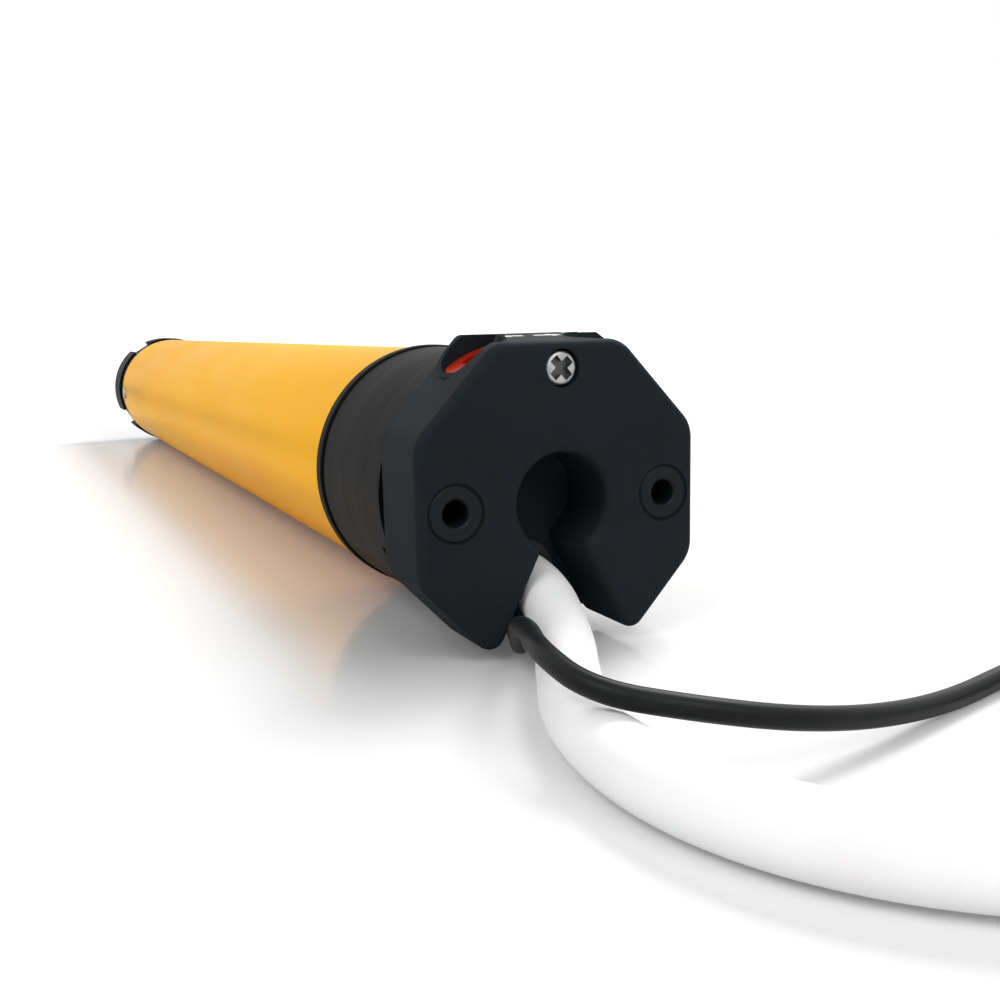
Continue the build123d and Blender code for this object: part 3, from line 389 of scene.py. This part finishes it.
def combined(tree, operation, *values):
    """A math node's result, from outputs of other nodes and floats."""
    node = tree.nodes.new("ShaderNodeMath")
    node.operation = operation
    for index, value in enumerate(values):
        if isinstance(value, float):
            node.inputs[index].default_value = value
        else:
            tree.links.new(value, node.inputs[index])
    return node.outputs[0]


def plain(name, dark, light, rough, grain=900, grain_bump=0.15, **values):
    """Two close tints in soft patches, a fine surface grain and a slightly uneven roughness."""
    made = Nodes(name)
    patch = made.noise(60, 3)
    made.tints(patch, dark, light)
    made.roughness(made.spread(patch, rough - 0.05, rough + 0.05))
    made.bump([(made.noise(grain, 2), grain_bump, FINE_M)])
    made.set(**values)
    return made.material


def head_plastic():
    """Fine spark-eroded grain, rubbed a little smoother in places, with a few faint scuffs."""
    made = Nodes("head_plastic")
    patch = made.noise(38, 4)
    made.tints(patch, (27, 32, 36), (33, 38, 42), 0.25, 0.75)
    made.roughness(made.spread(made.noise(24, 3), 0.5, 0.68))
    scuff = made.spread(made.noise(9, 6, 0.72, stretch=(1, 1, 5)), 0, 1, 0.66, 0.7)
    grain, swell = made.noise(2400, 2, 0.6), made.noise(300, 3)
    made.bump([(grain, 0.16, FINE_M), (swell, 0.08, 2 * FINE_M), (scuff, 0.05, FINE_M)])
    made.set(Specular_IOR_Level=0.04)
    return made.material


def crown_plastic():
    """Smoother plastic, rubbed along the turning direction."""
    made = Nodes("crown_plastic")
    patch = made.noise(55, 4, stretch=(1, 0.4, 1))
    made.tints(patch, (10, 10, 10), (15, 15, 15), 0.25, 0.75)
    made.roughness(made.spread(made.noise(120, 4, 0.6, stretch=(0.3, 3, 0.3)), 0.48, 0.54))
    grain, rubbed = made.noise(1900, 2), made.noise(420, 3, stretch=(0.2, 3, 0.2))
    made.bump([(grain, 0.1, FINE_M), (rubbed, 0.02, FINE_M)])
    made.set(Specular_IOR_Level=0.06)
    return made.material


def gold_tube():
    """Golden chromate and lacquer on steel: cloudy patches, fine drawing lines along the tube."""
    made = Nodes("gold_tube")
    cloud = made.noise(16, 3, 0.5, stretch=(1, 0.45, 1))
    stops = [(0.3, linear(238, 164, 12)), (0.5, linear(246, 177, 16)), (0.72, linear(252, 190, 24))]
    made.link(made.ramp(cloud, stops), made.shader.inputs["Base Color"])
    made.roughness(made.spread(made.noise(70, 3, stretch=(1, 0.2, 1)), 0.3, 0.42))
    made.bump([(made.noise(700, 2, stretch=(1, 0.04, 1)), 0.03, FINE_M)])
    made.set(Metallic=0.9, Specular_IOR_Level=0.2, Specular_Tint=(1.0, 0.93, 0.56, 1.0))
    return made.material


def steel(name, light, rough, streak=(1, 1, 1)):
    """Bare metal with fine streaks, of a tint and a darker one."""
    made = Nodes(name)
    brushed = made.noise(900, 3, stretch=streak)
    made.tints(brushed, tuple(int(c * 0.85) for c in light), light)
    made.roughness(made.spread(brushed, rough - 0.06, rough + 0.08))
    made.bump([(brushed, 0.08, FINE_M)])
    made.set(Metallic=1.0)
    return made.material


def zinc_steel():
    """Bright zinc, dull grey, with painted shade down in the cover screw's cross recess."""
    made = Nodes("zinc_steel")
    brushed = made.noise(700, 3)
    tree = made.tree
    x, y, z = separated(tree, made.place)
    rise = combined(tree, "SUBTRACT", z, SCREW_Z * MM)
    across, upwards = (combined(tree, "MULTIPLY", way, way) for way in (x, rise))
    out = combined(tree, "SQRT", combined(tree, "ADD", across, upwards))
    near = eased(tree, out, *SCREW_CROSS_R, (1.0, 0.0))
    deep = eased(tree, y, *(SCREW_FACE_Y + depth for depth in SCREW_SHADE_DEPTH))
    # The mix paints shade into the screw's cross recess: a dark grey near its middle and below its
    # face.
    mix = tree.nodes.new("ShaderNodeMix")
    mix.data_type = "RGBA"
    made.link(combined(tree, "MULTIPLY", near, deep), mix.inputs["Factor"])
    bright = [(0.3, linear(160, 161, 161)), (0.7, linear(196, 197, 196))]
    made.link(made.ramp(brushed, bright), mix.inputs["A"])
    # This dark grey is the painted shade in the cross recess.
    mix.inputs["B"].default_value = linear(88, 89, 90)
    made.link(mix.outputs["Result"], made.shader.inputs["Base Color"])
    made.roughness(made.spread(brushed, 0.38, 0.5))
    made.bump([(brushed, 0.08, FINE_M)])
    made.set(Metallic=0.85)
    return made.material


def white_sheath():
    """Soft white jacket, a little wavy over its cores, with faint shade patches."""
    made = Nodes("white_sheath")
    patch = made.noise(55, 4)
    made.tints(patch, (248, 247, 247), (254, 254, 255), 0.3, 0.6)
    made.roughness(made.spread(patch, 0.42, 0.56))
    made.bump([(made.noise(110, 2), 0.22, 4 * FINE_M), (made.noise(1300, 2), 0.06, FINE_M)])
    made.set(Subsurface_Weight=0.12, Subsurface_Scale=0.0015, Specular_IOR_Level=0.35)
    return made.material


def black_sheath():
    """Smooth black jacket, slightly worn in patches."""
    made = Nodes("black_sheath")
    patch = made.noise(120, 3)
    made.tints(patch, (14, 15, 16), (22, 23, 24))
    made.roughness(made.spread(patch, 0.34, 0.46))
    made.bump([(made.noise(1300, 2), 0.08, FINE_M)])
    made.set(Specular_IOR_Level=0.14)
    return made.material


def make_looks():
    """Each material slot's material."""
    looks = {
        "head_plastic": head_plastic(),
        "crown_plastic": crown_plastic(),
        "gold_tube": gold_tube(),
        "zinc_steel": zinc_steel(),
        "white_sheath": white_sheath(),
        "black_sheath": black_sheath(),
    }
    # Slot, dark and light tint, roughness and what else differs.
    plastics = [
        ("sleeve_black", (17, 20, 22), (24, 27, 30), 0.42, {"Specular_IOR_Level": 0.14}),
        ("adjuster_red", (150, 28, 4), (182, 42, 8), 0.34, {"Specular_IOR_Level": 0.15}),
        ("adjuster_white", (226, 222, 212), (238, 235, 226), 0.4, {}),
        ("grommet_rubber", (22, 22, 23), (30, 30, 31), 0.7, {}),
        ("core_ends", (150, 92, 52), (172, 108, 62), 0.45, {}),
        ("tie_fabric", (32, 32, 33), (44, 44, 45), 0.8, {"grain": 3000, "grain_bump": 0.4}),
        ("inner_nylon", (222, 216, 200), (234, 229, 216), 0.5, {}),
        ("chassis_plastic", (46, 48, 52), (58, 60, 64), 0.55, {}),
        ("plunger_red", (150, 22, 18), (172, 32, 24), 0.35, {}),
        ("capacitor_can", (216, 216, 210), (228, 228, 224), 0.3, {}),
        ("brake_lining", (44, 38, 32), (62, 54, 46), 0.85, {"grain": 2000, "grain_bump": 0.5}),
    ]
    for slot, dark, light, rough, rest in plastics:
        looks[slot] = plain(slot, dark, light, rough, **rest)
    # Slot, tint, roughness and, where the metal isn't evenly fine, how its streaks are stretched.
    metals = [
        ("cast_aluminium", (196, 198, 200), 0.48),
        ("bearing_steel", (190, 192, 194), 0.22),
        ("core_steel", (120, 122, 124), 0.42, (0.1, 6, 0.1)),
        ("copper_wire", (196, 106, 56), 0.35, (3, 0.2, 3)),
        ("brake_steel", (168, 168, 168), 0.36),
        ("gear_steel", (160, 160, 158), 0.34),
        ("bush_bronze", (190, 150, 90), 0.32),
    ]
    for slot, *rest in metals:
        looks[slot] = steel(slot, *rest)
    return looks


def dress():
    """Gives each node and piece its slot's material."""
    looks = make_looks()
    slots = {part["node"]: part["material_slot"] for part in frame["record"]["subparts"]}
    for name, node in nodes.items():
        node.data.materials.clear()
        node.data.materials.append(looks[slots[name]])
    for mark in marks:
        mark.data.materials.append(looks["adjuster_white"])
    cable.data.materials.append(looks["white_sheath"])
    lead.data.materials.append(looks["black_sheath"])


dress()


# Floor, light and background. The floor's mirror fades out between two places along x and y.
FLOOR_HALF_M = 12.0
FLOOR_GLOW = 0.12
GLOW_FADE = (250, 1400)
FLOOR_MIRROR = 0.4
MIRROR_ROUGHNESS = 0.14
MIRROR_LEFT = (-44, -27)
MIRROR_RIGHT = (12, 26)
MIRROR_FRONT = (-20, 14)
WORLD_LIGHT = 0.42

# Name, place, target and size in metres, and watts.
LAMPS = [
    ("key", (0.55, 0.35, 0.75), (0, 0.08, 0), (0.45, 0.45), 8),
    ("front", (0.1, -0.95, 0.85), (0, 0.05, 0), (0.7, 0.7), 5.5),
    ("left", (-0.7, -0.2, 0.8), (0, 0.1, 0), (0.7, 0.5), 3.6),
]


def make_floor():
    """White table: it mirrors what stands left of and behind the head, and fades to plain white."""
    mesh = bpy.data.meshes.new("floor")
    corner_signs = ((-1, -1), (1, -1), (1, 1), (-1, 1))
    places = [(x * FLOOR_HALF_M, y * FLOOR_HALF_M, FLOOR * MM) for x, y in corner_signs]
    mesh.from_pydata(places, [], [(0, 1, 2, 3)])
    floor = bpy.data.objects.new("floor", mesh)
    scene.collection.objects.link(floor)
    made = Nodes("floor")
    made.set(Base_Color=linear(225, 225, 225), Roughness=0.9, Specular_IOR_Level=0.0)
    tree = made.tree
    x, y, _ = separated(tree, made.place)
    away = tree.nodes.new("ShaderNodeVectorMath")
    away.operation = "LENGTH"
    tree.links.new(made.place, away.inputs[0])
    lift = tree.nodes.new("ShaderNodeEmission")
    paths = tree.nodes.new("ShaderNodeLightPath")
    glow = eased(tree, away.outputs["Value"], *GLOW_FADE, (FLOOR_GLOW, 1.0))
    seen = combined(tree, "MULTIPLY", paths.outputs["Is Camera Ray"], glow)
    tree.links.new(seen, lift.inputs["Strength"])
    both = tree.nodes.new("ShaderNodeAddShader")
    tree.links.new(made.shader.outputs[0], both.inputs[0])
    tree.links.new(lift.outputs[0], both.inputs[1])
    mirror = tree.nodes.new("ShaderNodeBsdfGlossy")
    mirror.inputs["Roughness"].default_value = MIRROR_ROUGHNESS
    left = eased(tree, x, *MIRROR_LEFT)
    right = eased(tree, x, *MIRROR_RIGHT, (1.0, 0.0))
    behind = eased(tree, y, *MIRROR_FRONT)
    place = combined(tree, "MULTIPLY", combined(tree, "MULTIPLY", left, right), behind)
    mixed = tree.nodes.new("ShaderNodeMixShader")
    tree.links.new(combined(tree, "MULTIPLY", place, FLOOR_MIRROR), mixed.inputs["Fac"])
    tree.links.new(both.outputs[0], mixed.inputs[1])
    tree.links.new(mirror.outputs[0], mixed.inputs[2])
    out = next(n for n in tree.nodes if n.type == "OUTPUT_MATERIAL")
    tree.links.new(mixed.outputs[0], out.inputs["Surface"])
    mesh.materials.append(made.material)


def make_world():
    """White to what sees it, and a soft grey as light."""
    world = bpy.data.worlds.new("world")
    scene.world = world
    world.use_nodes = True
    tree = world.node_tree
    back = next(n for n in tree.nodes if n.type == "BACKGROUND")
    back.inputs["Color"].default_value = (1, 1, 1, 1)
    paths = tree.nodes.new("ShaderNodeLightPath")
    seen = paths.outputs["Is Camera Ray"]
    for kind in ("Is Transmission Ray", "Is Glossy Ray"):
        seen = combined(tree, "MAXIMUM", seen, paths.outputs[kind])
    level = tree.nodes.new("ShaderNodeMapRange")
    level.inputs["To Min"].default_value = WORLD_LIGHT
    level.inputs["To Max"].default_value = 1.0
    tree.links.new(seen, level.inputs["Value"])
    tree.links.new(level.outputs["Result"], back.inputs["Strength"])


def area_light(name, place, target, size, power):
    data = bpy.data.lights.new(name, "AREA")
    data.shape = "RECTANGLE"
    data.size, data.size_y = size
    data.energy = power
    light = bpy.data.objects.new(name, data)
    turn = (Vector(target) - Vector(place)).to_track_quat("-Z", "Y").to_matrix().to_4x4()
    light.matrix_world = Matrix.Translation(Vector(place)) @ turn
    scene.collection.objects.link(light)


make_floor()
make_world()
for lamp in LAMPS:
    area_light(*lamp)
scene.view_settings.view_transform = "Standard"
